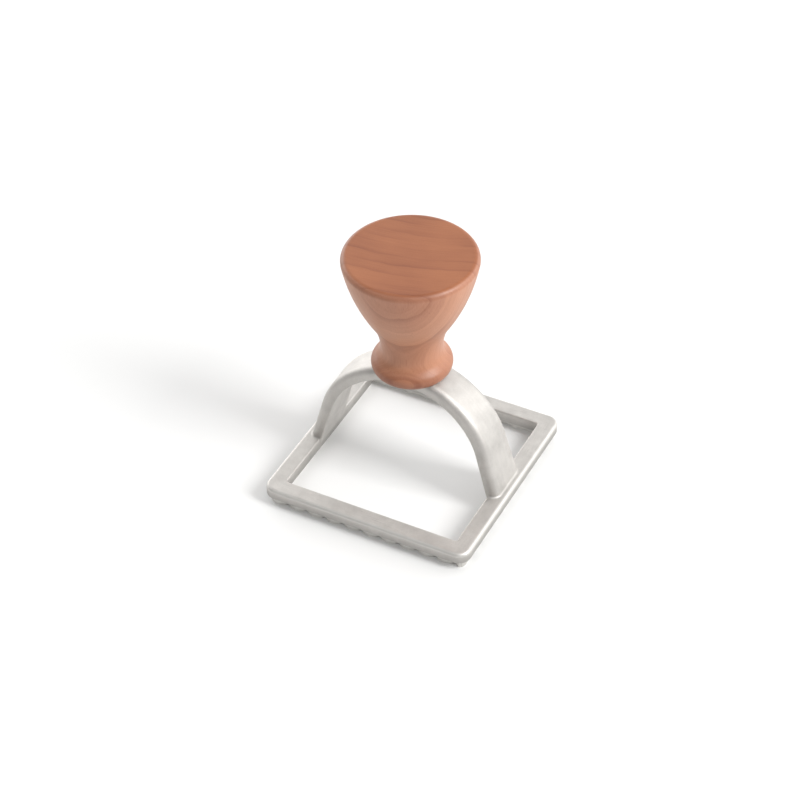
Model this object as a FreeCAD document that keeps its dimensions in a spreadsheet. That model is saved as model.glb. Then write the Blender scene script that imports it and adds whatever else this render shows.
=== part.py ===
import FreeCAD, Part
import math
import os
import Sketcher

# A square ravioli stamp: a cast frame with a scalloped blade and a strap arch,
# a turned wooden knob on the arch, and the screw that holds the knob.
# Millimetres, +Z up. The origin is the centre of the frame, on the plane of the blade's edge.

SIZES = {
    # square rim
    "frame_side": 70.0,
    "rim_width": 5.7,
    "rim_thickness": 3.7,
    "rim_corner_radius": 4.0,
    "rim_inner_corner_radius": 0.8,
    "rim_outer_round": 1.2,
    "rim_inner_round": 0.6,
    "rim_under_round": 0.3,
    # scalloped blade under the rim
    "blade_height": 3.0,
    "blade_setback": 1.5,
    "blade_wall": 1.2,
    "blade_corner_radius": 2.5,
    "scallops": 10,
    "scallop_depth": 1.3,
    "hollow_depth": 0.4,
    "hollow_land": 1.1,
    # strap arch over the frame
    "arch_rise": 32.75,
    "leg_tilt": 15.2,
    "strap_width": 16.45,
    "strap_draft": 2.43,
    "strap_thickness": 4.05,
    "strap_outer_round": 2.4,
    "strap_inner_round": 0.5,
    "foot_depth": 2.2,
    "foot_fillet": 0.8,
    "knob_seat_cut": 1.1,
    # turned knob
    "knob_height": 42.4,
    "knob_base_radius": 11.2,
    "bulge_curve": 2.87,
    "bulge_height": 2.4,
    "neck_radius": 9.55,
    "neck_height": 8.6,
    "neck_curve": 19.0,
    "flare_start": 18.4,
    "flare_curve": 65.0,
    "knob_top_round": 1.8,
    "knob_base_bevel": 0.3,
    # screw through the arch into the knob
    "screw_radius": 2.0,
    "screw_length": 25.0,
    "point_length": 4.0,
    "head_radius": 4.0,
    "head_height": 2.4,
    "head_edge": 1.1,
    "recess_depth": 1.5,
    "recess_length": 4.2,
    "recess_width": 0.9,
    "spot_face_depth": 0.2,
    "spot_face_margin": 0.5,
    "hole_clearance": 0.25,
    "pilot_clearance": 0.03,
    "pilot_spare": 1.5,
}

# places that more than one piece uses, written with the sheet's own names
RIM_TOP = "(sizes.blade_height + sizes.rim_thickness)"
FOOT_LEVEL = "(" + RIM_TOP + " - sizes.foot_depth)"
STRAP_UNDERSIDE = "(" + RIM_TOP + " + sizes.arch_rise)"
ARCH_TOP = "(" + STRAP_UNDERSIDE + " + sizes.strap_thickness)"
KNOB_SEAT = "(" + ARCH_TOP + " - sizes.knob_seat_cut)"
SCREW_SEAT = "(" + STRAP_UNDERSIDE + " + sizes.spot_face_depth)"
RIM_INNER_HALF = "(sizes.frame_side / 2 - sizes.rim_width)"
BLADE_HALF = "(sizes.frame_side / 2 - sizes.blade_setback)"
BLADE_INNER_HALF = "(" + BLADE_HALF + " - sizes.scallop_depth - sizes.blade_wall)"
PITCH = "(2 * " + BLADE_HALF + " / (sizes.scallops + 0.5))"
HOLLOW_CHORD = "(" + PITCH + " - sizes.hollow_land)"

doc = FreeCAD.newDocument("ravioli_stamp")
sheet = doc.addObject("Spreadsheet::Sheet", "sizes")
for row, (alias, number) in enumerate(SIZES.items(), start=1):
    sheet.set(f"A{row}", alias)
    sheet.set(f"B{row}", str(number))
    sheet.setAlias(f"B{row}", alias)
doc.recompute()


def value(expression):
    """The number that an expression on the sheet gives."""
    return float(sheet.evalExpression(expression.replace("sizes.", "")))


def point(x, y):
    return FreeCAD.Vector(x, y, 0)


def line(start, end):
    return Part.LineSegment(start, end)


def arc(centre, radius, start_degrees, end_degrees):
    circle = Part.Circle(centre, FreeCAD.Vector(0, 0, 1), radius)
    return Part.ArcOfCircle(circle, math.radians(start_degrees), math.radians(end_degrees))


# Sketcher's numbers for the ends and the centre of a curve, and for the sketch's own axes
START, END, CENTRE = 1, 2, 3
X_AXIS, Y_AXIS = -1, -2


def new_body(name):
    body = doc.addObject("PartDesign::Body", name)
    body.Label = name
    return body


def origin_feature(body, role):
    return next(item for item in body.Origin.OriginFeatures if item.Role == role)


def new_sketch(body, name, plane, height=None):
    """An empty sketch on one of the body's origin planes, raised to a height if one is given."""
    sketch = body.newObject("Sketcher::SketchObject", name)
    sketch.AttachmentSupport = [(origin_feature(body, plane), "")]
    sketch.MapMode = "FlatFace"
    if height:
        sketch.setExpression("AttachmentOffset.Base.z", height)
    return sketch


def relate(sketch, kind, *places):
    sketch.addConstraint(Sketcher.Constraint(kind, *places))


def dimension(sketch, name, expression, kind, *places):
    """A named dimension whose size the sheet gives."""
    unit = math.radians if kind == "Angle" else float
    index = sketch.addConstraint(Sketcher.Constraint(kind, *places, unit(value(expression))))
    sketch.renameConstraint(index, name)
    sketch.setExpression("Constraints." + name, expression)


def join_in_turn(sketch, ends):
    """Coincident ends: each curve's last point meets the next curve's first point."""
    for (curve, last), (following, first) in ends:
        relate(sketch, "Coincident", curve, last, following, first)


def draw_rectangle(sketch, name, half_width, half_depth):
    """A rectangle centred on the sketch's origin, from expressions for its half sizes."""
    wide, deep = value(half_width), value(half_depth)
    corners = [point(-wide, -deep), point(wide, -deep), point(wide, deep), point(-wide, deep)]
    sides = [sketch.addGeometry(line(corners[i], corners[(i + 1) % 4])) for i in range(4)]
    for i, side in enumerate(sides):
        relate(sketch, "Coincident", side, END, sides[(i + 1) % 4], START)
        relate(sketch, "Horizontal" if i % 2 == 0 else "Vertical", side)
    relate(sketch, "Symmetric", sides[0], START, sides[2], START, X_AXIS, START)
    dimension(sketch, name + "_width", "2 * " + half_width, "DistanceX", sides[0], START, sides[0], END)
    dimension(sketch, name + "_depth", "2 * " + half_depth, "DistanceY", sides[1], START, sides[1], END)


def draw_circle(sketch, name, radius):
    circle = Part.Circle(point(0, 0), FreeCAD.Vector(0, 0, 1), value(radius))
    index = sketch.addGeometry(circle)
    relate(sketch, "Coincident", index, CENTRE, X_AXIS, START)
    dimension(sketch, name, radius, "Radius", index)


def extrude(body, kind, name, sketch, length, reverse=False, sides="One side"):
    """A Pad or a Pocket of a sketch."""
    feature = body.newObject("PartDesign::" + kind, name)
    feature.Profile = sketch
    feature.Reversed = reverse
    feature.SideType = sides
    feature.setExpression("Length", length)
    doc.recompute()
    return feature


def dress_edges(body, kind, name, measure, size, wanted):
    """A Fillet or a Chamfer on those edges of the body's last shape that a test picks out."""
    base = body.Tip
    chosen = [f"Edge{i}" for i, edge in enumerate(base.Shape.Edges, start=1) if wanted(edge)]
    feature = body.newObject("PartDesign::" + kind, name)
    feature.Base = (base, chosen)
    feature.setExpression(measure, size)
    doc.recompute()


def round_edges(body, name, radius, wanted):
    dress_edges(body, "Fillet", name, "Radius", radius, wanted)


def bevel_edges(body, name, size, wanted):
    dress_edges(body, "Chamfer", name, "Size", size, wanted)


def near(one, other):
    """Whether two lengths are the same, to a ten-thousandth of a millimetre."""
    return abs(one - other) < 1e-4


def samples(edge):
    """Points at both ends of an edge and at its middle."""
    first, last = edge.ParameterRange
    return [edge.valueAt(first + share * (last - first)) for share in (0.0, 0.5, 1.0)]


def upright_at(half):
    """A test for the four upright edges of a square with this half side."""
    return lambda edge: all(near(abs(p.x), half) and near(abs(p.y), half) for p in samples(edge))


def level(height):
    """A test for edges that lie at one height."""
    return lambda edge: all(near(p.z, height) for p in samples(edge))


def beyond(half):
    """A test for edges whose middle lies outside a square round the Z axis."""
    def test(edge):
        middle = samples(edge)[1]
        return max(abs(middle.x), abs(middle.y)) > half
    return test


def draw_notch(sketch):
    """The gap between two neighbouring bumps on the front of the blade: two arcs meet in a cusp."""
    crest = value(BLADE_HALF)
    pitch = value(PITCH)
    depth = value("sizes.scallop_depth")
    clear = value("sizes.blade_setback")
    radius = ((pitch / 2) ** 2 + depth ** 2) / (2 * depth)
    swing = math.degrees(math.asin(pitch / 2 / radius))
    cusp_x = -crest + pitch
    left_x = cusp_x - pitch / 2
    right_x = cusp_x + pitch / 2
    left = sketch.addGeometry(arc(point(left_x, -crest + radius), radius, 270, 270 + swing))
    right = sketch.addGeometry(arc(point(right_x, -crest + radius), radius, 270 - swing, 270))
    down = sketch.addGeometry(line(point(right_x, -crest), point(right_x, -crest - clear)))
    back = sketch.addGeometry(line(point(right_x, -crest - clear), point(left_x, -crest - clear)))
    up = sketch.addGeometry(line(point(left_x, -crest - clear), point(left_x, -crest)))
    join_in_turn(sketch, [((left, END), (right, START)), ((right, END), (down, START)),
                          ((down, END), (back, START)), ((back, END), (up, START)),
                          ((up, END), (left, START))])
    relate(sketch, "Horizontal", back)
    relate(sketch, "Vertical", down)
    relate(sketch, "Vertical", up)
    relate(sketch, "Vertical", left, START, left, CENTRE)
    relate(sketch, "Vertical", right, END, right, CENTRE)
    relate(sketch, "Horizontal", left, CENTRE, right, CENTRE)
    relate(sketch, "Horizontal", left, START, right, END)
    dimension(sketch, "crest", BLADE_HALF, "DistanceY", left, START, X_AXIS, START)
    dimension(sketch, "cusp_place", BLADE_HALF + " - " + PITCH, "DistanceX", left, END, X_AXIS, START)
    dimension(sketch, "half_pitch", PITCH + " / 2", "DistanceX", left, START, left, END)
    dimension(sketch, "depth", "sizes.scallop_depth", "DistanceY", left, START, left, END)
    dimension(sketch, "clear", "sizes.blade_setback", "DistanceY", down, END, down, START)


def draw_hollow(sketch):
    """A shallow hollow in the blade's inner side, behind one bump: a circle's segment."""
    inner = value(BLADE_INNER_HALF)
    pitch = value(PITCH)
    depth = value("sizes.hollow_depth")
    half = value(HOLLOW_CHORD) / 2
    radius = (half ** 2 + depth ** 2) / (2 * depth)
    swing = math.degrees(math.asin(half / radius))
    middle = -value(BLADE_HALF) + 1.5 * pitch
    centre = point(middle, -inner - depth + radius)
    curve = sketch.addGeometry(arc(centre, radius, 270 - swing, 270 + swing))
    chord = sketch.addGeometry(line(point(middle + half, -inner), point(middle - half, -inner)))
    relate(sketch, "Coincident", curve, END, chord, START)
    relate(sketch, "Coincident", chord, END, curve, START)
    relate(sketch, "Horizontal", chord)
    dimension(sketch, "inner_face", BLADE_INNER_HALF, "DistanceY", curve, START, X_AXIS, START)
    dimension(sketch, "middle", BLADE_HALF + " - 1.5 * " + PITCH, "DistanceX", curve, CENTRE, X_AXIS, START)
    dimension(sketch, "chord", HOLLOW_CHORD, "DistanceX", curve, START, curve, END)
    arc_radius = HOLLOW_CHORD + "^2 / (8 * sizes.hollow_depth) + sizes.hollow_depth / 2"
    dimension(sketch, "curve", arc_radius, "Radius", curve)


def repeat_round_frame(body, name, feature, count):
    """Copies of a cut along the front of the blade, and then on all four sides."""
    transform = body.newObject("PartDesign::MultiTransform", name)
    transform.Originals = [feature]
    along = body.newObject("PartDesign::LinearPattern", name + "_along")
    along.Direction = (origin_feature(body, "X_Axis"), [""])
    along.Mode = "Extent"
    along.setExpression("Length", PITCH + " * (" + count + " - 1)")
    along.setExpression("Occurrences", count)
    around = body.newObject("PartDesign::PolarPattern", name + "_around")
    around.Axis = (origin_feature(body, "Z_Axis"), [""])
    around.Angle = 360
    around.Occurrences = 4
    transform.Transformations = [along, around]
    body.Tip = transform
    doc.recompute()
    return transform


def draw_half_arch(sketch):
    """One half of the strap's side view: a quarter of the round crown and one straight, tilted leg."""
    tilt = math.radians(value("sizes.leg_tilt"))
    underside = value(STRAP_UNDERSIDE)
    thickness = value("sizes.strap_thickness")
    foot = point(value(RIM_INNER_HALF), value(FOOT_LEVEL))
    reach = foot.x * math.cos(tilt) + foot.y * math.sin(tilt)
    radius = (reach - underside * math.sin(tilt)) / (1 - math.sin(tilt))
    centre = point(0, underside - radius)
    across_leg = point(math.cos(tilt), math.sin(tilt))
    heel = foot + point(thickness / math.cos(tilt), 0)
    inner = sketch.addGeometry(arc(centre, radius, math.degrees(tilt), 90))
    outer = sketch.addGeometry(arc(centre, radius + thickness, math.degrees(tilt), 90))
    leg = sketch.addGeometry(line(foot, centre + radius * across_leg))
    sole = sketch.addGeometry(line(heel, foot))
    outside = sketch.addGeometry(line(heel, centre + (radius + thickness) * across_leg))
    crown = sketch.addGeometry(line(point(0, underside + thickness), point(0, underside)))
    join_in_turn(sketch, [((crown, END), (inner, END)), ((leg, START), (sole, END)),
                          ((sole, START), (outside, START)), ((outer, END), (crown, START))])
    relate(sketch, "Tangent", leg, END, inner, START)
    relate(sketch, "Tangent", outside, END, outer, START)
    relate(sketch, "Parallel", leg, outside)
    relate(sketch, "Coincident", inner, CENTRE, outer, CENTRE)
    relate(sketch, "PointOnObject", inner, CENTRE, Y_AXIS)
    relate(sketch, "PointOnObject", crown, START, Y_AXIS)
    relate(sketch, "PointOnObject", crown, END, Y_AXIS)
    relate(sketch, "Horizontal", sole)
    dimension(sketch, "underside", STRAP_UNDERSIDE, "DistanceY", X_AXIS, START, crown, END)
    dimension(sketch, "thickness", "sizes.strap_thickness", "DistanceY", crown, END, crown, START)
    dimension(sketch, "leg_angle", "90 + sizes.leg_tilt", "Angle", leg)
    dimension(sketch, "foot_place", RIM_INNER_HALF, "DistanceX", X_AXIS, START, leg, START)
    dimension(sketch, "foot_level", FOOT_LEVEL, "DistanceY", X_AXIS, START, leg, START)


def strap_half_width(height):
    """Half the strap's width at a height: it narrows towards the crown by its draft."""
    return value("sizes.strap_width") / 2 - height * math.tan(math.radians(value("sizes.strap_draft")))


def strap_side_edges(shape, outward):
    """A test for the strap's long edges, on its outer side or on its inner side."""
    sense = 1 if outward else -1
    chosen = []
    for face in shape.Faces:
        u_first, u_last, v_first, v_last = face.ParameterRange
        normal = face.normalAt((u_first + u_last) / 2, (v_first + v_last) / 2)
        middle = face.CenterOfMass
        away = FreeCAD.Vector(middle.x, 0, middle.z - value(RIM_TOP))
        is_sole = middle.z < value(RIM_TOP)
        is_side = abs(normal.y) > abs(normal.x) + abs(normal.z)
        if is_sole or is_side or sense * normal.dot(away) < 0:
            continue
        chosen += [edge for edge in face.Edges
                   if all(near(abs(p.y), strap_half_width(p.z)) for p in samples(edge))]
    return lambda edge: any(edge.isSame(other) for other in chosen)


def draw_side_cut(sketch):
    """What is cut off one side of the strap, seen along the arch, to give it its draft."""
    width = value("sizes.strap_width")
    top = value(ARCH_TOP)
    floor = sketch.addGeometry(line(point(width / 2, 0), point(width, 0)))
    far = sketch.addGeometry(line(point(width, 0), point(width, top)))
    ceiling = sketch.addGeometry(line(point(width, top), point(strap_half_width(top), top)))
    side = sketch.addGeometry(line(point(strap_half_width(top), top), point(width / 2, 0)))
    join_in_turn(sketch, [((floor, END), (far, START)), ((far, END), (ceiling, START)),
                          ((ceiling, END), (side, START)), ((side, END), (floor, START))])
    relate(sketch, "PointOnObject", floor, START, X_AXIS)
    relate(sketch, "Horizontal", floor)
    relate(sketch, "Horizontal", ceiling)
    relate(sketch, "Vertical", far)
    dimension(sketch, "half_width", "sizes.strap_width / 2", "DistanceX", X_AXIS, START, floor, START)
    dimension(sketch, "far_side", "sizes.strap_width", "DistanceX", X_AXIS, START, floor, END)
    dimension(sketch, "top", ARCH_TOP, "DistanceY", X_AXIS, START, far, END)
    dimension(sketch, "draft", "270 + sizes.strap_draft", "Angle", side)


def mirror(body, name, feature, plane):
    """A feature's mirror image across one of the body's origin planes."""
    mirrored = body.newObject("PartDesign::Mirrored", name)
    mirrored.Originals = [feature]
    mirrored.MirrorPlane = (origin_feature(body, plane), [""])
    body.Tip = mirrored
    doc.recompute()


def make_arch():
    """The strap arch by itself: tapered, long edges rounded, and cut flat on top for the knob."""
    body = new_body("arch_form")
    arch_outline = new_sketch(body, "arch_outline", "XZ_Plane")
    draw_half_arch(arch_outline)
    half_arch = extrude(body, "Pad", "half_arch", arch_outline, "sizes.strap_width", sides="Symmetric")
    mirror(body, "arch", half_arch, "YZ_Plane")
    side_outline = new_sketch(body, "side_outline", "YZ_Plane")
    draw_side_cut(side_outline)
    side_cut = extrude(body, "Pocket", "side_cut", side_outline, "sizes.frame_side", sides="Symmetric")
    mirror(body, "side_cuts", side_cut, "XZ_Plane")
    outer_edges = strap_side_edges(body.Tip.Shape, outward=True)
    round_edges(body, "strap_outer_edges", "sizes.strap_outer_round", outer_edges)
    inner_edges = strap_side_edges(body.Tip.Shape, outward=False)
    round_edges(body, "strap_inner_edges", "sizes.strap_inner_round", inner_edges)
    seat_outline = new_sketch(body, "seat_outline", "XY_Plane", KNOB_SEAT)
    draw_rectangle(seat_outline, "seat", "sizes.strap_width", "sizes.strap_width")
    extrude(body, "Pocket", "knob_seat", seat_outline, "sizes.strap_thickness", reverse=True)
    return body


def foot_edge(edge):
    """A test for the line where a leg stands on the rim's top."""
    half = value("sizes.strap_width") / 2
    inside = value(RIM_INNER_HALF)
    outside = value("sizes.frame_side") / 2 - value("sizes.rim_outer_round")
    at_leg = all(abs(p.y) < half and inside < abs(p.x) < outside for p in samples(edge))
    return at_leg and level(value(RIM_TOP))(edge)


def make_frame(arch_form):
    """The casting: rim, scalloped blade and strap arch in one piece."""
    body = new_body("stamp_frame")

    wall_outline = new_sketch(body, "wall_outline", "XY_Plane")
    draw_rectangle(wall_outline, "outer", BLADE_HALF, BLADE_HALF)
    draw_rectangle(wall_outline, "inner", BLADE_INNER_HALF, BLADE_INNER_HALF)
    extrude(body, "Pad", "wall", wall_outline, "sizes.blade_height")
    round_edges(body, "wall_corners", "sizes.blade_corner_radius", upright_at(value(BLADE_HALF)))

    notch_outline = new_sketch(body, "notch_outline", "XY_Plane")
    draw_notch(notch_outline)
    notch = extrude(body, "Pocket", "notch", notch_outline, "sizes.blade_height", reverse=True)
    repeat_round_frame(body, "notches", notch, "sizes.scallops")

    hollow_outline = new_sketch(body, "hollow_outline", "XY_Plane")
    draw_hollow(hollow_outline)
    hollow = extrude(body, "Pocket", "hollow", hollow_outline, "sizes.blade_height", reverse=True)
    repeat_round_frame(body, "hollows", hollow, "(sizes.scallops - 2)")

    rim_outline = new_sketch(body, "rim_outline", "XY_Plane", "sizes.blade_height")
    draw_rectangle(rim_outline, "outer", "sizes.frame_side / 2", "sizes.frame_side / 2")
    draw_rectangle(rim_outline, "inner", RIM_INNER_HALF, RIM_INNER_HALF)
    extrude(body, "Pad", "rim", rim_outline, "sizes.rim_thickness")
    outer_half = value("sizes.frame_side") / 2
    inner_half = value(RIM_INNER_HALF)
    round_edges(body, "rim_corners", "sizes.rim_corner_radius", upright_at(outer_half))
    round_edges(body, "rim_inner_corners", "sizes.rim_inner_corner_radius", upright_at(inner_half))
    at_top = level(value(RIM_TOP))
    outside = beyond((outer_half + inner_half) / 2)
    round_edges(body, "rim_outer_top", "sizes.rim_outer_round", lambda edge: at_top(edge) and outside(edge))
    inside = lambda edge: not outside(edge)
    round_edges(body, "rim_inner_top", "sizes.rim_inner_round", lambda edge: at_top(edge) and inside(edge))
    at_underside = level(value("sizes.blade_height"))
    past_blade = beyond((outer_half + value(BLADE_HALF)) / 2)
    under_edge = lambda edge: at_underside(edge) and past_blade(edge)
    round_edges(body, "rim_under", "sizes.rim_under_round", under_edge)

    joined = body.newObject("PartDesign::Boolean", "arch_on_rim")
    joined.Type = "Fuse"
    joined.setObjects([arch_form])
    body.Tip = joined
    doc.recompute()
    round_edges(body, "foot_fillets", "sizes.foot_fillet", foot_edge)

    screw_hole_outline = new_sketch(body, "screw_hole_outline", "XY_Plane", STRAP_UNDERSIDE)
    draw_circle(screw_hole_outline, "hole", "sizes.screw_radius + sizes.hole_clearance")
    extrude(body, "Pocket", "screw_hole", screw_hole_outline, "sizes.strap_thickness", reverse=True)

    spot_face_outline = new_sketch(body, "spot_face_outline", "XY_Plane", SCREW_SEAT)
    draw_circle(spot_face_outline, "spot_face", "sizes.head_radius + sizes.spot_face_margin")
    extrude(body, "Pocket", "spot_face", spot_face_outline, "sizes.strap_thickness")
    return body


def draw_knob(sketch):
    """Half of the knob's section: rounded base, waist, flare, and level top."""
    base = value("sizes.knob_base_radius")
    bulge = value("sizes.bulge_curve")
    bulge_z = value("sizes.bulge_height")
    neck = point(value("sizes.neck_radius"), value("sizes.neck_height"))
    curve = value("sizes.neck_curve")
    flare = value("sizes.flare_curve")
    height = value("sizes.knob_height")
    bulge_x = base - math.sqrt(bulge ** 2 - bulge_z ** 2)
    aside = neck.x - bulge_x
    rise = neck.y - bulge_z
    waist = (aside ** 2 + rise ** 2 - bulge ** 2) / (2 * (bulge - aside))
    meet = math.degrees(math.atan2(rise, aside + waist))
    lean = math.degrees(math.asin((value("sizes.flare_start") - neck.y) / curve))
    lean_way = point(math.cos(math.radians(lean)), -math.sin(math.radians(lean)))
    neck_centre = neck + point(curve, 0)
    flare_centre = neck_centre - (curve + flare) * lean_way
    finish = math.degrees(math.asin((height - flare_centre.y) / flare))
    edge = flare_centre.x + math.sqrt(flare ** 2 - (height - flare_centre.y) ** 2)
    start_angle = math.degrees(math.atan2(-bulge_z, base - bulge_x))
    floor = sketch.addGeometry(line(point(0, 0), point(base, 0)))
    foot = sketch.addGeometry(arc(point(bulge_x, bulge_z), bulge, start_angle, meet))
    below = sketch.addGeometry(arc(neck + point(waist, 0), waist, 180, 180 + meet))
    above = sketch.addGeometry(arc(neck_centre, curve, 180 - lean, 180))
    side = sketch.addGeometry(arc(flare_centre, flare, -lean, finish))
    top = sketch.addGeometry(line(point(edge, height), point(0, height)))
    axis = sketch.addGeometry(line(point(0, height), point(0, 0)))
    join_in_turn(sketch, [((floor, END), (foot, START)), ((below, START), (above, END)),
                          ((side, END), (top, START)), ((top, END), (axis, START)),
                          ((axis, END), (floor, START))])
    relate(sketch, "Coincident", floor, START, X_AXIS, START)
    relate(sketch, "Horizontal", floor)
    relate(sketch, "Horizontal", top)
    relate(sketch, "Vertical", axis)
    relate(sketch, "Tangent", foot, END, below, END)
    relate(sketch, "Horizontal", below, START, below, CENTRE)
    relate(sketch, "Horizontal", above, END, above, CENTRE)
    relate(sketch, "Tangent", above, START, side, START)
    dimension(sketch, "base_radius", "sizes.knob_base_radius", "DistanceX", floor, START, floor, END)
    dimension(sketch, "bulge_curve", "sizes.bulge_curve", "Radius", foot)
    dimension(sketch, "bulge_height", "sizes.bulge_height", "DistanceY", X_AXIS, START, foot, CENTRE)
    dimension(sketch, "neck_radius", "sizes.neck_radius", "DistanceX", X_AXIS, START, below, START)
    dimension(sketch, "neck_height", "sizes.neck_height", "DistanceY", X_AXIS, START, below, START)
    dimension(sketch, "neck_curve", "sizes.neck_curve", "Radius", above)
    dimension(sketch, "flare_start", "sizes.flare_start", "DistanceY", X_AXIS, START, side, START)
    dimension(sketch, "flare_curve", "sizes.flare_curve", "Radius", side)
    dimension(sketch, "height", "sizes.knob_height", "DistanceY", X_AXIS, START, top, END)


def revolve(body, name, sketch):
    """One full turn of a sketch round its upright axis."""
    feature = body.newObject("PartDesign::Revolution", name)
    feature.Profile = sketch
    feature.ReferenceAxis = (sketch, ["V_Axis"])
    feature.Angle = 360
    doc.recompute()
    return feature


def make_knob():
    """The turned knob, with a blind pilot hole for the screw in its base."""
    body = new_body("knob")
    body.setExpression("Placement.Base.z", KNOB_SEAT)
    outline = new_sketch(body, "knob_outline", "XZ_Plane")
    draw_knob(outline)
    revolve(body, "turning", outline)
    round_edges(body, "top_round", "sizes.knob_top_round", level(value("sizes.knob_height")))
    bevel_edges(body, "base_bevel", "sizes.knob_base_bevel", level(0))

    pilot_outline = new_sketch(body, "pilot_outline", "XY_Plane")
    draw_circle(pilot_outline, "pilot", "sizes.screw_radius + sizes.pilot_clearance")
    doc.recompute()
    pilot = body.newObject("PartDesign::Hole", "pilot_hole")
    pilot.Profile = pilot_outline
    pilot.Reversed = True
    pilot.DepthType = "Dimension"
    pilot.DrillPoint = "Angled"
    pilot.setExpression("Diameter", "2 * (sizes.screw_radius + sizes.pilot_clearance)")
    screw_reach = SCREW_SEAT + " + sizes.screw_length - " + KNOB_SEAT
    pilot.setExpression("Depth", screw_reach + " + sizes.pilot_spare")
    doc.recompute()
    return body


def draw_screw(sketch):
    """Half of the screw's section, seat at height zero: domed head below, shank and point above."""
    shank = value("sizes.screw_radius")
    length = value("sizes.screw_length")
    shoulder = length - value("sizes.point_length")
    head = value("sizes.head_radius")
    crown = -value("sizes.head_height")
    edge = -value("sizes.head_edge")
    dome = (head ** 2 + (crown - edge) ** 2) / (2 * (edge - crown))
    open_angle = math.degrees(math.asin(head / dome))
    axis = sketch.addGeometry(line(point(0, length), point(0, crown)))
    cap = sketch.addGeometry(arc(point(0, crown + dome), dome, 270, 270 + open_angle))
    rim = sketch.addGeometry(line(point(head, edge), point(head, 0)))
    seat = sketch.addGeometry(line(point(head, 0), point(shank, 0)))
    side = sketch.addGeometry(line(point(shank, 0), point(shank, shoulder)))
    tip = sketch.addGeometry(line(point(shank, shoulder), point(0, length)))
    join_in_turn(sketch, [((axis, END), (cap, START)), ((cap, END), (rim, START)),
                          ((rim, END), (seat, START)), ((seat, END), (side, START)),
                          ((side, END), (tip, START)), ((tip, END), (axis, START))])
    relate(sketch, "PointOnObject", axis, START, Y_AXIS)
    relate(sketch, "PointOnObject", axis, END, Y_AXIS)
    relate(sketch, "PointOnObject", cap, CENTRE, Y_AXIS)
    relate(sketch, "Vertical", rim)
    relate(sketch, "Vertical", side)
    relate(sketch, "Horizontal", seat)
    relate(sketch, "PointOnObject", seat, START, X_AXIS)
    dimension(sketch, "length", "sizes.screw_length", "DistanceY", X_AXIS, START, axis, START)
    dimension(sketch, "head_height", "sizes.head_height", "DistanceY", axis, END, X_AXIS, START)
    dimension(sketch, "head_radius", "sizes.head_radius", "DistanceX", X_AXIS, START, seat, START)
    dimension(sketch, "head_edge", "sizes.head_edge", "DistanceY", rim, START, rim, END)
    dimension(sketch, "shank", "sizes.screw_radius", "DistanceX", X_AXIS, START, seat, END)
    dimension(sketch, "point", "sizes.point_length", "DistanceY", side, END, axis, START)


def make_screw():
    """The round-headed wood screw, head under the arch, with a cross recess."""
    body = new_body("knob_screw")
    body.setExpression("Placement.Base.z", SCREW_SEAT)
    outline = new_sketch(body, "screw_outline", "XZ_Plane")
    draw_screw(outline)
    revolve(body, "shank_and_head", outline)
    slot_outline = new_sketch(body, "slot_outline", "XY_Plane", "-sizes.head_height")
    draw_rectangle(slot_outline, "slot", "sizes.recess_length / 2", "sizes.recess_width / 2")
    slot = extrude(body, "Pocket", "slot", slot_outline, "sizes.recess_depth", reverse=True)
    cross = body.newObject("PartDesign::PolarPattern", "cross")
    cross.Originals = [slot]
    cross.Axis = (origin_feature(body, "Z_Axis"), [""])
    cross.Angle = 90
    cross.Occurrences = 2
    body.Tip = cross
    doc.recompute()
    return body


bodies = [make_frame(make_arch()), make_knob(), make_screw()]
doc.recompute()

for item in doc.Objects:
    if "Invalid" in item.State or "Error" in item.State:
        raise RuntimeError(item.Name + " failed")
for body in bodies:
    if body.Shape.isNull() or not body.Shape.isValid() or len(body.Shape.Solids) != 1:
        raise RuntimeError(body.Label + " is not one valid solid")

os.makedirs("parts", exist_ok=True)
for body in bodies:
    body.Shape.exportStep("parts/" + body.Label + ".step")
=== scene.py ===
import bpy
import math
from mathutils import Matrix, Vector


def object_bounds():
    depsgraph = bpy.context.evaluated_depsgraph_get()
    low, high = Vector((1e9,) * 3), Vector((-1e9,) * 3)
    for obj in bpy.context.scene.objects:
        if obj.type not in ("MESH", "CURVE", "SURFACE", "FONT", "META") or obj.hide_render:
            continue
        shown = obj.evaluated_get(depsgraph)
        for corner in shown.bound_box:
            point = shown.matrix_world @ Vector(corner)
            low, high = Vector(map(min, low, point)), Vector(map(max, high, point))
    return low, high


# A square ravioli stamp: cast aluminium frame and arch, turned beech knob, steel screw.
# Metres, +Z up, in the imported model's own frame.

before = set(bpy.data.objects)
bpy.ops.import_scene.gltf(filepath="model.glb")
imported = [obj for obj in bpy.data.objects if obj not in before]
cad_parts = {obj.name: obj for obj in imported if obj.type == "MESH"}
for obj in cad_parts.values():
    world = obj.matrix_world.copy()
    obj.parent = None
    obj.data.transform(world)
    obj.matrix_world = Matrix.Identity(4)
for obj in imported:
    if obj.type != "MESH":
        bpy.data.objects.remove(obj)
cad_low, cad_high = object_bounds()


def tint(red, green, blue):
    """A colour given as it looks on a screen, 0 to 255, for a shader's colour socket."""
    shares = [level / 255 for level in (red, green, blue)]
    linear = [s / 12.92 if s <= 0.04045 else ((s + 0.055) / 1.055) ** 2.4 for s in shares]
    return (*linear, 1.0)


MM = 0.001
WHITE = tint(255, 255, 255)

# the frame: how far out its rim and its blade reach and where the blade's notches end,
# and the heights where the blade and the rim end
BLADE_SETBACK = 1.5 * MM
NOTCH_DEPTH = 1.3 * MM
RIM_SIDE = cad_high.x
BLADE_SIDE = RIM_SIDE - BLADE_SETBACK
NOTCH_FLOOR = BLADE_SIDE - NOTCH_DEPTH
BLADE_TOP = 3.0 * MM
RIM_TOP = 6.7 * MM

# the knob: how high it is, and the heights where it ends
KNOB_HEIGHT = 42.4 * MM
KNOB_TOP = cad_high.z
KNOB_SEAT = KNOB_TOP - KNOB_HEIGHT

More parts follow.
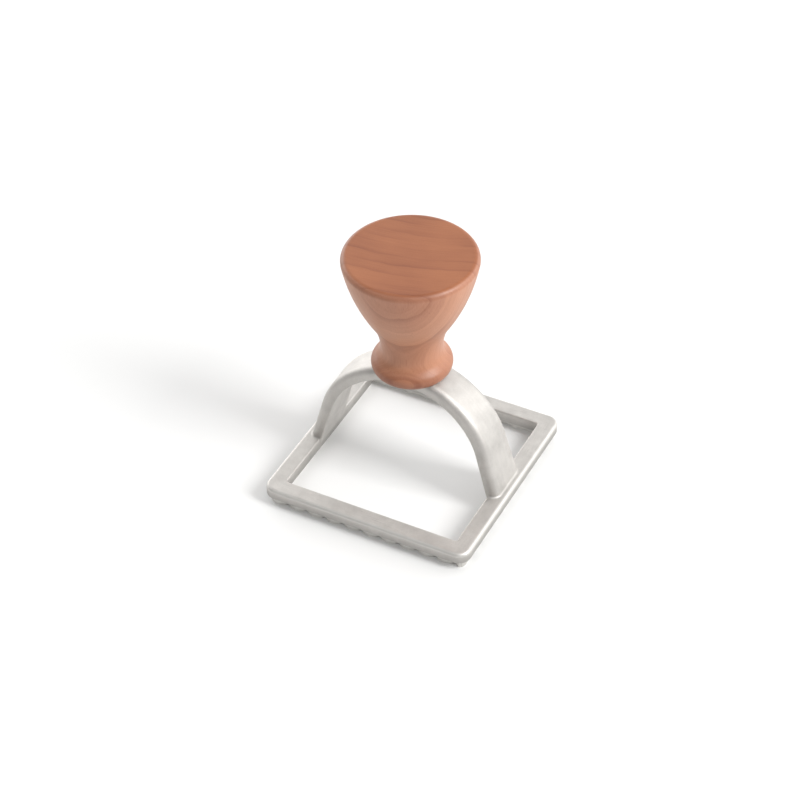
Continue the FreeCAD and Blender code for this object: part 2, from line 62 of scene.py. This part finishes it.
# the camera: its place round the middle of the rim's top, in degrees and metres, how far its aim
# is off that middle, in degrees, and its lens in millimetres
CAMERA_AZIMUTH = -62.29
CAMERA_ELEVATION = 42.67
CAMERA_DISTANCE = 0.7
AIM_TURN = 0.44
AIM_TILT = -1.34
CAMERA_ROLL = -1.29
LENS = 100.25
NEAREST_SEEN = 10 * MM

# the casting: the sizes of its grain, lumps and blotches, of the marks that filing left along
# the bars, and of the strokes along the arch
SKIN_GRAIN = 0.3 * MM
LUMP = 2.6 * MM
BLOTCH = 9 * MM
MARK_WIDTH = 0.16 * MM
MARK_LENGTH = 6.4 * MM
STROKE_WIDTH = 1.1 * MM
STROKE_LENGTH = 26.4 * MM

# the casting: pairs of places between which a look begins or ends
BLADE_ENDS = (BLADE_TOP - 0.8 * MM, BLADE_TOP)
NOTCH_STARTS = (NOTCH_FLOOR - 0.3 * MM, NOTCH_FLOOR)
NOTCH_ENDS = (NOTCH_FLOOR, BLADE_SIDE - 0.5 * MM)
SIDE_STARTS = (BLADE_TOP - 0.4 * MM, BLADE_TOP + 0.3 * MM)
SIDE_ENDS = (BLADE_TOP, RIM_TOP)
EDGE_STARTS = (RIM_TOP - 1.5 * MM, RIM_TOP - 0.8 * MM)
EDGE_ENDS = (RIM_TOP - 0.3 * MM, RIM_TOP)
OUTSIDE_STARTS = (RIM_SIDE - 2 * MM, RIM_SIDE - 1 * MM)
RIM_ENDS = (RIM_TOP - 0.1 * MM, RIM_TOP + 0.6 * MM)
SIDE_BAR_STARTS = (-1 * MM, 1 * MM)

# the casting: how strong the marks and the blotches must be for scratches to show, and the
# colours, with the share of the one that lies over the edge
MARKS_SHOW = (0.02, 0.2)
BLOTCHES_SHOW = (-0.08, 0.08)
DULL_METAL = tint(188, 185, 181)
BRIGHT_METAL = tint(215, 212, 208)
# painted shade that darkens the rim's sides
PAINTED_SIDE_SHADE = tint(224, 224, 224)
# a painted highlight along the rim's outer top edge, laid on with the share below
PAINTED_EDGE_HIGHLIGHT = tint(226, 224, 220)
EDGE_HIGHLIGHT_SHARE = 0.65
# painted light that brightens the blade in the shade of the rim's overhang
BLADE_PAINTED_LIGHT = tint(214, 212, 208)
# painted shade in the notches between the blade's bumps
PAINTED_NOTCH_SHADE = tint(128, 124, 118)

# the wood: the tree's heart seen from the knob's axis, and the width of its rings, how they
# sway, how they lean with the trunk's taper, and how uneven they are, counted in rings
HEART = Vector((-18 * MM, 80 * MM))
RING_WIDTH = 4.0 * MM
RING_SWAY = 3.4 * MM
SWAY_SIZES = (14 * MM, 14 * MM, 35 * MM)
TRUNK_TAPER = 0.04
UNEVEN_RUN = 2.3
UNEVEN_SHIFT = 1.9

# the wood: powers that darken a ring slowly through its season and end it sharply
LATEWOOD_RISE = 6
LATEWOOD_END = 24

# the wood: the sizes of its other patterns; the first is one in rings, round the heart and up
YEAR_SIZES = (0.9, 27 * MM, 45 * MM)
STREAK_SIZES = (0.34 * MM, 13.6 * MM, 30.6 * MM)
FIBRE_SIZES = (0.3 * MM, 0.3 * MM, 10.8 * MM)
BLUSH_SIZES = (16 * MM, 16 * MM, 25.6 * MM)

# the wood: where its looks begin or end, how strong a pattern must be to show, and its colours
END_GRAIN_STARTS = (KNOB_TOP - 0.5 * MM, KNOB_TOP - 0.05 * MM)
TOP_ROUND_STARTS = (KNOB_TOP - 2 * MM, KNOB_TOP - 1.3 * MM)
SEAT_SHADE_ENDS = (KNOB_SEAT + 1 * MM, KNOB_SEAT + 7 * MM)
STRONG_YEARS = (-0.15, 0.15)
PORES_SHOW = (0.16, 0.28)
PALE_WOOD = tint(192, 136, 105)
DARK_WOOD = tint(145, 88, 62)
# the top's end grain is darker, and painted shade darkens it further
END_GRAIN_TONE_AND_PAINTED_SHADE = tint(218, 189, 152)
# painted shade on the rounded edge of the knob's top
TOP_ROUND_PAINTED_SHADE = tint(240, 236, 238)
# painted shade on the knob's foot where it sits on the arch
SEAT_PAINTED_SHADE = tint(216, 200, 192)
PORE_COLOUR = tint(132, 80, 58)
PORE_SHARE = 0.3

# the screw: the pitch of its turning marks, the size of its haze, and its colours
TURNING_PITCH = 0.06 * MM
HAZE_SIZE = 1.6 * MM
DIM_STEEL = tint(178, 180, 184)
PALE_STEEL = tint(206, 207, 208)

# the floor: its size and colour, how bright it glows, and the share of that glow close to the
# object, in a mirror there and a little farther off; then the distances from the object between
# which the first share changes into the last, and that one into plain white
FLOOR_SIZE = 8
FLOOR_COLOUR = tint(239, 239, 238)
GLOW_STRENGTH = 1.05
# the weaker glow close to the object is painted shade on the floor round it; the stronger glow that
# mirrors see there is painted light on the metal
CLOSE_GLOW = 0.08
MIRRORED_GLOW = 0.24
NEAR_GLOW = 0.2
NEAR_STARTS = (0.045, 0.085)
WHITE_STARTS = (0.2, 0.8)

# the room: how far off its lamps are and which way its back is; its light all round, overhead,
# at the back and along the horizon there; then how high up the overhead light begins, and how
# close to the back's direction the light there begins
LAMP_DISTANCE = 1.2
ROOM_BACK = Vector((-0.05, 0.85, 0.5)).normalized()
ROOM_LIGHT = 0.1
OVERHEAD_LIGHT = 0.6
BACK_LIGHT = 0.3
HORIZON_LIGHT = 1.6
HORIZON_POWER = 3
OVERHEAD_STARTS = (0.15, 0.75)
BACK_STARTS = (-0.2, 0.8)


class Field:
    """A number that varies from place to place. Arithmetic on it adds Math nodes."""

    def __init__(self, nodes, socket):
        self.nodes = nodes
        self.socket = socket

    def __add__(self, other):
        return self.nodes.math("ADD", self, other)

    def __radd__(self, other):
        return self.nodes.math("ADD", other, self)

    def __sub__(self, other):
        return self.nodes.math("SUBTRACT", self, other)

    def __rsub__(self, other):
        return self.nodes.math("SUBTRACT", other, self)

    def __mul__(self, other):
        return self.nodes.math("MULTIPLY", self, other)

    def __truediv__(self, other):
        return self.nodes.math("DIVIDE", self, other)

    def __pow__(self, other):
        return self.nodes.math("POWER", self, other)

    def __abs__(self):
        return self.nodes.math("ABSOLUTE", self)

    def floor(self):
        return self.nodes.math("FLOOR", self)

    def fraction(self):
        return self.nodes.math("FRACT", self)

    def limited(self):
        """The number kept between 0 and 1."""
        return self.nodes.math("ADD", self, 0.0, clamp=True)

    def rise(self, start, end):
        """0 up to start, 1 from end on, and smooth between them."""
        settings = {"interpolation_type": "SMOOTHSTEP"}
        sockets = {"Value": self, "From Min": start, "From Max": end}
        return self.nodes.add("MapRange", settings, sockets)

    def fall(self, start, end):
        """1 up to start, 0 from end on, and smooth between them."""
        return 1 - self.rise(start, end)


class Nodes:
    """The node tree of a new material, or of the world."""

    def __init__(self, owner):
        owner.use_nodes = True
        self.tree = owner.node_tree
        self.tree.nodes.clear()

    def add(self, kind, settings=None, sockets=None, output=0):
        """A node with its settings, then the values or links of its inputs. Gives one output."""
        node = self.tree.nodes.new("ShaderNode" + kind)
        for name, setting in (settings or {}).items():
            setattr(node, name, setting)
        for name, given in (sockets or {}).items():
            if isinstance(given, Field):
                self.tree.links.new(given.socket, node.inputs[name])
            else:
                node.inputs[name].default_value = given
        if not node.outputs:
            return None
        return Field(self, node.outputs[output])

    def math(self, operation, *numbers, clamp=False):
        settings = {"operation": operation, "use_clamp": clamp}
        return self.add("Math", settings, dict(enumerate(numbers)))

    def place(self):
        """Where a point lies in its object."""
        return self.add("TexCoord", output="Object")

    def vector(self, x, y, z):
        return self.add("CombineXYZ", None, {"X": x, "Y": y, "Z": z})

    def parts(self, vector):
        """The three numbers of a vector."""
        first = self.add("SeparateXYZ", None, {"Vector": vector})
        return [Field(self, socket) for socket in first.socket.node.outputs]

    def noise(self, place, size, detail=2):
        """Noise from -0.5 to 0.5 in lumps about this size, or this long along x, y and z."""
        sizes = size if isinstance(size, tuple) else (size,) * 3
        scale = [1 / along for along in sizes]
        cell = self.add("VectorMath", {"operation": "MULTIPLY"}, {0: place, 1: scale})
        return self.add("TexNoise", None, {"Vector": cell, "Scale": 1.0, "Detail": detail}) - 0.5

    def blend(self, share, one, other, way="MIX"):
        """Two colours mixed by a share, or one laid over the other in a given way."""
        settings = {"data_type": "RGBA", "blend_type": way}
        return self.add("Mix", settings, {0: share, 6: one, 7: other}, output=2)

    def shaded(self, colour, shades):
        """A colour that each shade darkens by its share."""
        for share, shade in shades:
            colour = self.blend(share, colour, shade, way="MULTIPLY")
        return colour

    def bump(self, height):
        """A normal for a surface whose height is given in millimetres."""
        return self.add("Bump", None, {"Strength": 1.0, "Distance": MM, "Height": height})

    def finish(self, kind, sockets):
        """The shader that the material shows."""
        self.add("OutputMaterial", None, {"Surface": self.add(kind, None, sockets)})


def weigh(patterns, start, **weights):
    """A start value plus the named patterns, each times its weight."""
    total = start
    for name, weight in weights.items():
        total = total + patterns[name] * weight
    return total


def new_material(name):
    material = bpy.data.materials.new(name)
    return material, Nodes(material)


def dress(node_name, material):
    """Gives a CAD node its material."""
    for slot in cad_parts[node_name].material_slots:
        slot.material = material


def casting_zones(nodes, x, y, z):
    """How far a point belongs to each part of the casting with its own look, from 0 to 1."""
    outwards = nodes.math("MAXIMUM", abs(x), abs(y))
    blade = z.fall(*BLADE_ENDS)
    return {
        "blade": blade,
        "notch": blade * outwards.rise(*NOTCH_STARTS) * outwards.fall(*NOTCH_ENDS),
        "side": z.rise(*SIDE_STARTS) * z.fall(*SIDE_ENDS),
        "edge": z.rise(*EDGE_STARTS) * z.fall(*EDGE_ENDS) * outwards.rise(*OUTSIDE_STARTS),
        "rim": z.fall(*RIM_ENDS),
    }


def file_marks(nodes, place, x, y):
    """Fine marks along X on the front and the back bar, and along Y on the side bars."""
    along_x = nodes.noise(place, (MARK_LENGTH, MARK_WIDTH, MARK_WIDTH))
    along_y = nodes.noise(place, (MARK_WIDTH, MARK_LENGTH, MARK_WIDTH))
    on_side_bar = (abs(x) - abs(y)).rise(*SIDE_BAR_STARTS)
    return along_x * (1 - on_side_bar) + along_y * on_side_bar


def casting_patterns(nodes, place, x, y, on_rim):
    """Grain, lumps and blotches all over, scratches on the rim and strokes along the arch."""
    blotches = nodes.noise(place, BLOTCH, detail=5)
    scratches = file_marks(nodes, place, x, y).rise(*MARKS_SHOW) * blotches.rise(*BLOTCHES_SHOW)
    strokes = nodes.noise(place, (STROKE_LENGTH, STROKE_WIDTH, STROKE_LENGTH), detail=3)
    return {
        "skin": nodes.noise(place, SKIN_GRAIN),
        "lumps": nodes.noise(place, LUMP, detail=3),
        "blotches": blotches,
        "scratches": scratches * on_rim,
        "strokes": strokes * (1 - on_rim),
    }


def casting_colour(nodes, patterns, zones):
    """Dull to bright metal with painted shade on the rim's sides, a painted highlight on its outer edge,
    painted light on the blade and painted shade in the notches.
    """
    tone = weigh(patterns, 0.5, blotches=1.5, lumps=0.7, skin=0.7, scratches=-0.55, strokes=0.4)
    metal = nodes.blend(tone.limited(), DULL_METAL, BRIGHT_METAL)
    metal = nodes.shaded(metal, [(zones["side"], PAINTED_SIDE_SHADE)])
    metal = nodes.blend(zones["edge"] * EDGE_HIGHLIGHT_SHARE, metal, PAINTED_EDGE_HIGHLIGHT)
    metal = nodes.blend(zones["blade"], metal, BLADE_PAINTED_LIGHT)
    return nodes.shaded(metal, [(zones["notch"], PAINTED_NOTCH_SHADE)])


def cast_aluminium():
    """A tumbled casting with a matt grain."""
    material, nodes = new_material("cast_aluminium")
    place = nodes.place()
    x, y, z = nodes.parts(place)
    zones = casting_zones(nodes, x, y, z)
    patterns = casting_patterns(nodes, place, x, y, zones["rim"])
    height = weigh(patterns, 0, skin=0.016, lumps=0.06, scratches=-0.008, strokes=0.012)
    nodes.finish("BsdfPrincipled", {
        "Base Color": casting_colour(nodes, patterns, zones),
        "Metallic": 1.0,
        "Roughness": weigh(patterns | zones, 0.6, blotches=0.14, skin=0.1, scratches=-0.06, blade=-0.06),
        "Normal": nodes.bump(height),
    })
    return material


def growth_rings(nodes, place, radius, around, z):
    """Each year's own tone, and the dark latewood that ends the strong years."""
    sway = nodes.noise(place, SWAY_SIZES)
    ring = (radius + sway * RING_SWAY + (z - KNOB_TOP) * TRUNK_TAPER) / RING_WIDTH
    uneven = nodes.noise(nodes.vector(ring, 0.0, 0.0), UNEVEN_RUN, detail=1) + 0.5
    ring = ring + uneven * UNEVEN_SHIFT
    season = ring.fraction()
    year = nodes.noise(nodes.vector(ring.floor(), around, z), YEAR_SIZES, detail=0)
    latewood = season ** LATEWOOD_RISE * (1 - season ** LATEWOOD_END) * year.rise(*STRONG_YEARS)
    return year, latewood


def wood_patterns(nodes, place, x, y, z):
    """Rings and streaks round the tree's heart, upright fibres with pores, and a slow blush."""
    aside = x - HEART.x
    deep = HEART.y - y
    radius = (aside * aside + deep * deep) ** 0.5
    around = (math.pi - nodes.math("ARCTAN2", aside, deep)) * HEART.length
    year, latewood = growth_rings(nodes, place, radius, around, z)
    fibres = nodes.noise(place, FIBRE_SIZES)
    return {
        "year": year,
        "latewood": latewood,
        "streaks": nodes.noise(nodes.vector(radius, around, z), STREAK_SIZES, detail=3),
        "fibres": fibres,
        "pores": fibres.rise(*PORES_SHOW),
        "blush": nodes.noise(place, BLUSH_SIZES),
    }


def wood_colour(nodes, patterns, z):
    """Pale to dark wood, darker on the end grain with painted shade there too, painted shade on the
    top's round and near the seat, with pores.
    """
    dark = weigh(patterns, 0.3, latewood=0.55, year=0.5, streaks=0.45, fibres=0.35, blush=0.7)
    end_grain_and_shade = z.rise(*END_GRAIN_STARTS)
    wood = nodes.shaded(nodes.blend(dark.limited(), PALE_WOOD, DARK_WOOD), [
        (end_grain_and_shade, END_GRAIN_TONE_AND_PAINTED_SHADE),
        (z.rise(*TOP_ROUND_STARTS) * (1 - end_grain_and_shade), TOP_ROUND_PAINTED_SHADE),
        (z.fall(*SEAT_SHADE_ENDS), SEAT_PAINTED_SHADE),
    ])
    return nodes.blend(patterns["pores"] * PORE_SHARE, wood, PORE_COLOUR)


def turned_beech():
    """Lacquered wood with its fibres upright, so that the flared side cuts the rings in nested arcs."""
    material, nodes = new_material("turned_beech")
    place = nodes.place()
    x, y, z = nodes.parts(place)
    patterns = wood_patterns(nodes, place, x, y, z)
    nodes.finish("BsdfPrincipled", {
        "Base Color": wood_colour(nodes, patterns, z),
        "Roughness": weigh(patterns, 0.46, streaks=0.12, pores=0.08),
        "Coat Weight": 0.14,
        "Coat Roughness": 0.36,
        "Normal": nodes.bump(weigh(patterns, 0, streaks=0.006, fibres=0.006)),
    })
    return material


def screw_steel():
    """Zinc-plated steel with the fine rings that turning leaves round the screw's axis."""
    material, nodes = new_material("screw_steel")
    place = nodes.place()
    x, y, z = nodes.parts(place)
    radius = (x * x + y * y) ** 0.5
    patterns = {
        "turning": nodes.noise(nodes.vector(radius, 0.0, z), TURNING_PITCH),
        "haze": nodes.noise(place, HAZE_SIZE, detail=3),
    }
    nodes.finish("BsdfPrincipled", {
        "Base Color": nodes.blend(patterns["haze"] + 0.5, DIM_STEEL, PALE_STEEL),
        "Metallic": 1.0,
        "Roughness": weigh(patterns, 0.31, haze=0.14, turning=0.08),
        "Normal": nodes.bump(weigh(patterns, 0, turning=0.004)),
    })
    return material


def direction(azimuth, elevation):
    """A direction given in degrees. Azimuth 0 is +X and 90 is +Y, and elevation 90 is straight up."""
    a = math.radians(azimuth)
    e = math.radians(elevation)
    return Vector((math.cos(a) * math.cos(e), math.sin(a) * math.cos(e), math.sin(e)))


def turned_axes(azimuth, elevation, roll):
    """The right, up and back directions of a camera whose back points this way, in degrees."""
    back = direction(azimuth, elevation)
    level = direction(azimuth + 90, 0)
    steep = back.cross(level)
    r = math.radians(roll)
    right = math.cos(r) * level + math.sin(r) * steep
    up = math.cos(r) * steep - math.sin(r) * level
    return right, up, back


def make_camera():
    data = bpy.data.cameras.new("camera")
    camera = bpy.data.objects.new("camera", data)
    bpy.context.scene.collection.objects.link(camera)
    data.lens = LENS
    data.clip_start = NEAREST_SEEN
    place = direction(CAMERA_AZIMUTH, CAMERA_ELEVATION) * CAMERA_DISTANCE
    place.z += RIM_TOP
    axes = turned_axes(CAMERA_AZIMUTH + AIM_TURN, CAMERA_ELEVATION + AIM_TILT, CAMERA_ROLL)
    camera.matrix_world = Matrix.Translation(place) @ Matrix(axes).transposed().to_4x4()
    bpy.context.scene.camera = camera


def glow_share(nodes):
    """How much of the floor glows by itself, as the camera and as mirrors see it; weaker close to the
    object, which paints shade round it, and stronger there for mirrors, which paints light on the metal.
    """
    seen = nodes.add("LightPath", output="Is Camera Ray")
    mirrored = nodes.add("LightPath", output="Is Glossy Ray")
    through = nodes.add("LightPath", output="Is Transmission Ray")
    x, y = nodes.parts(nodes.place())[:2]
    distance = (x * x + y * y) ** 0.5
    nearby = distance.rise(*NEAR_STARTS)
    far_off = distance.rise(*WHITE_STARTS)
    seen_glow = nearby * (NEAR_GLOW - CLOSE_GLOW) + far_off * (1 - NEAR_GLOW) + CLOSE_GLOW
    mirrored_glow = far_off * (1 - MIRRORED_GLOW) + MIRRORED_GLOW
    return seen * seen_glow + (mirrored + through).limited() * mirrored_glow


def make_floor():
    """A wide white floor that keeps the shadows, with painted shade from a weaker glow close to the
    object, and fades to plain white far off.
    """
    bpy.ops.mesh.primitive_plane_add(size=FLOOR_SIZE)
    floor = bpy.context.object
    floor.name = "floor"
    material, nodes = new_material("white_floor")
    matt = nodes.add("BsdfDiffuse", None, {"Color": FLOOR_COLOUR})
    glow = nodes.add("Emission", None, {"Color": WHITE, "Strength": GLOW_STRENGTH})
    nodes.finish("MixShader", {0: glow_share(nodes), 1: matt, 2: glow})
    floor.data.materials.append(material)


def make_lamp(name, azimuth, elevation, width, height, power):
    """A soft lamp that looks at the object."""
    data = bpy.data.lights.new(name, "AREA")
    data.shape = "RECTANGLE"
    data.size = width
    data.size_y = height
    data.energy = power
    lamp = bpy.data.objects.new(name, data)
    bpy.context.scene.collection.objects.link(lamp)
    towards = direction(azimuth, elevation)
    lamp.location = towards * LAMP_DISTANCE
    lamp.rotation_euler = towards.to_track_quat("Z", "Y").to_euler()


def make_room():
    """A room that is white behind the object and overhead, and dim in front of it."""
    world = bpy.data.worlds.new("studio")
    bpy.context.scene.world = world
    nodes = Nodes(world)
    towards = nodes.add("TexCoord", output="Generated")
    sockets = {0: towards, 1: ROOM_BACK}
    facing = nodes.add("VectorMath", {"operation": "DOT_PRODUCT"}, sockets, output="Value")
    height = nodes.parts(towards)[2]
    overhead = height.rise(*OVERHEAD_STARTS) * OVERHEAD_LIGHT
    horizon = (1 - height).limited() ** HORIZON_POWER * HORIZON_LIGHT
    behind = facing.rise(*BACK_STARTS) * (horizon + BACK_LIGHT)
    strength = overhead + behind + ROOM_LIGHT
    sky = nodes.add("Background", None, {"Color": WHITE, "Strength": strength})
    nodes.add("OutputWorld", None, {"Surface": sky})


dress("stamp_frame", cast_aluminium())
dress("knob", turned_beech())
dress("knob_screw", screw_steel())
make_camera()
make_floor()
make_lamp("side_lamp", azimuth=-1, elevation=40, width=0.36, height=0.6, power=10.4)
make_lamp("rim_lamp", azimuth=150, elevation=14, width=1.1, height=0.5, power=4.6)
make_lamp("back_lamp", azimuth=48, elevation=20, width=0.7, height=0.4, power=1.3)
make_room()
bpy.context.scene.view_settings.view_transform = "Standard"
